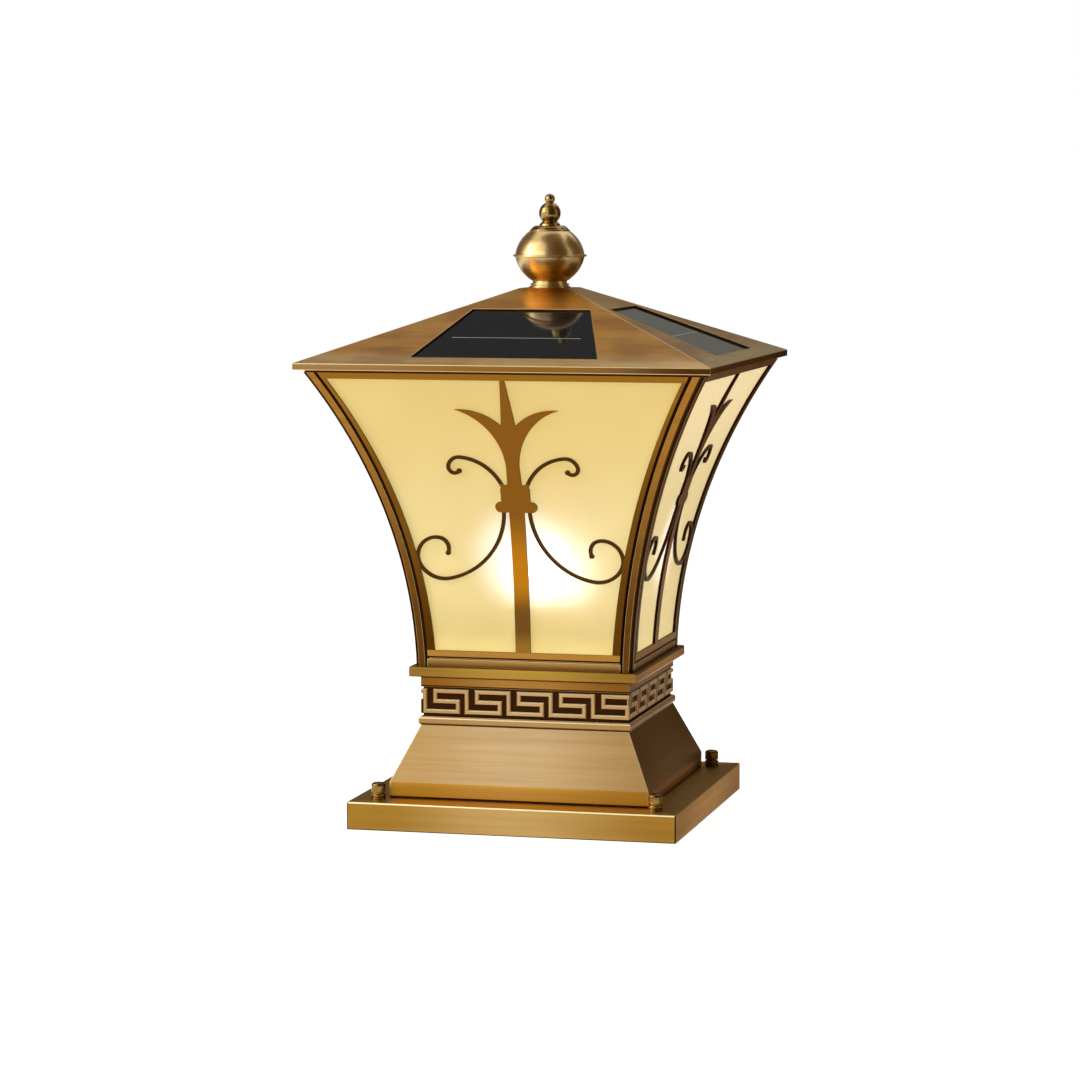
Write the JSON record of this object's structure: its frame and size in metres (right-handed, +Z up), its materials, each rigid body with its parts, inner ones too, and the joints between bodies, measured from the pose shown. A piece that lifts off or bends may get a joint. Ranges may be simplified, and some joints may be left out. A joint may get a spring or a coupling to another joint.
{
  "type": "pillar light",
  "caption": "Square pillar lantern with flared frosted windows, lily and scroll ironwork, a solar pyramid roof and a turned ball finial.",
  "frame": {"origin": "centre of the base's underside, on the pillar's top", "axes": "+Z up through the finial; -Y faces out of the front window; +X to the right of the front"},
  "size_m": [0.3, 0.3, 0.4539],
  "materials": {
    "body_metal": "antique brass plating on steel sheet, brushed level",
    "ironwork": "antique brass plating with darker edges",
    "key_metal": "antique brass plating, rubbed bright",
    "finial_metal": "antique brass plating, polished",
    "fastener_brass": "polished with darkened hollows",
    "zinc_steel": "zinc plated",
    "inner_sheet": "antique brass plating, dull",
    "frosted_glass": "frosted, warm cream when lit",
    "cell_glass": "clear resin over black cells",
    "busbar_metal": "printed metal line",
    "light_housing": "spun, satin",
    "diffuser": "opal",
    "circuit_board": "white solder mask",
    "black_plastic": "fine grain",
    "cell_wrap": "shrink sleeve",
    "terminal_plastic": "natural",
    "lead_cover": "smooth",
    "holder_plastic": "ceramic-coloured",
    "contact_metal": "plain",
    "bulb_opal": "opal",
    "bulb_body": "smooth white",
    "bulb_cap_metal": "rolled thread form"
  },
  "bodies": {
    "lantern": {"base_box": "body_metal", "anchor_studs": "zinc_steel", "flat_washers": "fastener_brass", "cap_nuts": "fastener_brass", "tie_rods": "zinc_steel", "tie_nuts": "zinc_steel", "pedestal_skirt": "body_metal", "neck_band": "body_metal", "key_strips": "key_metal", "tray": "body_metal", "sill_bars": "body_metal", "corner_post_front_right": "body_metal", "corner_post_back_right": "body_metal", "corner_post_back_left": "body_metal", "corner_post_front_left": "body_metal", "window_frame_front": "ironwork", "window_frame_right": "ironwork", "window_frame_back": "ironwork", "window_frame_left": "ironwork", "pane_front": "frosted_glass", "pane_right": "frosted_glass", "pane_back": "frosted_glass", "pane_left": "frosted_glass", "top_ring": "inner_sheet", "crossbar": "zinc_steel", "centre_rod": "zinc_steel", "rod_nuts": "zinc_steel", "countersunk_screws": "zinc_steel", "lamp_holder": "holder_plastic", "holder_contacts": "contact_metal", "junction_box": "black_plastic", "junction_lid": "black_plastic", "terminal_block": "terminal_plastic", "cable_gland": "black_plastic", "internal_lead": "lead_cover"},
    "roof": {"roof_shell": "body_metal", "solar_panel_front": "cell_glass", "solar_panel_right": "cell_glass", "solar_panel_back": "cell_glass", "solar_panel_left": "cell_glass", "cell_busbars": "busbar_metal", "soffit": "inner_sheet", "led_housing": "light_housing", "led_board": "circuit_board", "led_diffuser": "diffuser", "battery_case": "black_plastic", "battery_cells": "cell_wrap", "controller_case": "black_plastic", "controller_board": "circuit_board", "switch_body": "black_plastic", "roof_leads": "lead_cover"},
    "finial": {"finial_collar": "finial_metal", "finial_lower_bowl": "finial_metal", "finial_bush": "zinc_steel", "finial_upper_bowl": "finial_metal", "finial_top": "finial_metal"},
    "bulb": {"bulb_cap": "bulb_cap_metal", "bulb_housing": "bulb_body", "bulb_envelope": "bulb_opal"},
    "button": {"mode_button": "black_plastic"}
  },
  "joints": [
    {"name": "roof_lift", "type": "slide", "parent": "lantern", "child": "roof", "axis": [0, 0, 1], "range_m": [0, 0.11]},
    {"name": "finial_turn", "type": "hinge", "parent": "roof", "child": "finial", "pos_m": [0, 0, 0.4], "axis": [0, 0, 1], "continuous": true},
    {"name": "bulb_out", "type": "slide", "parent": "lantern", "child": "bulb", "axis": [0, 0, 1], "range_m": [0, 0.03]},
    {"name": "mode_press", "type": "slide", "parent": "roof", "child": "button", "axis": [0, 0, 1], "range_m": [0, 0.0015], "stiffness_N_per_m": 500, "springref_m": -0.001}
  ]
}
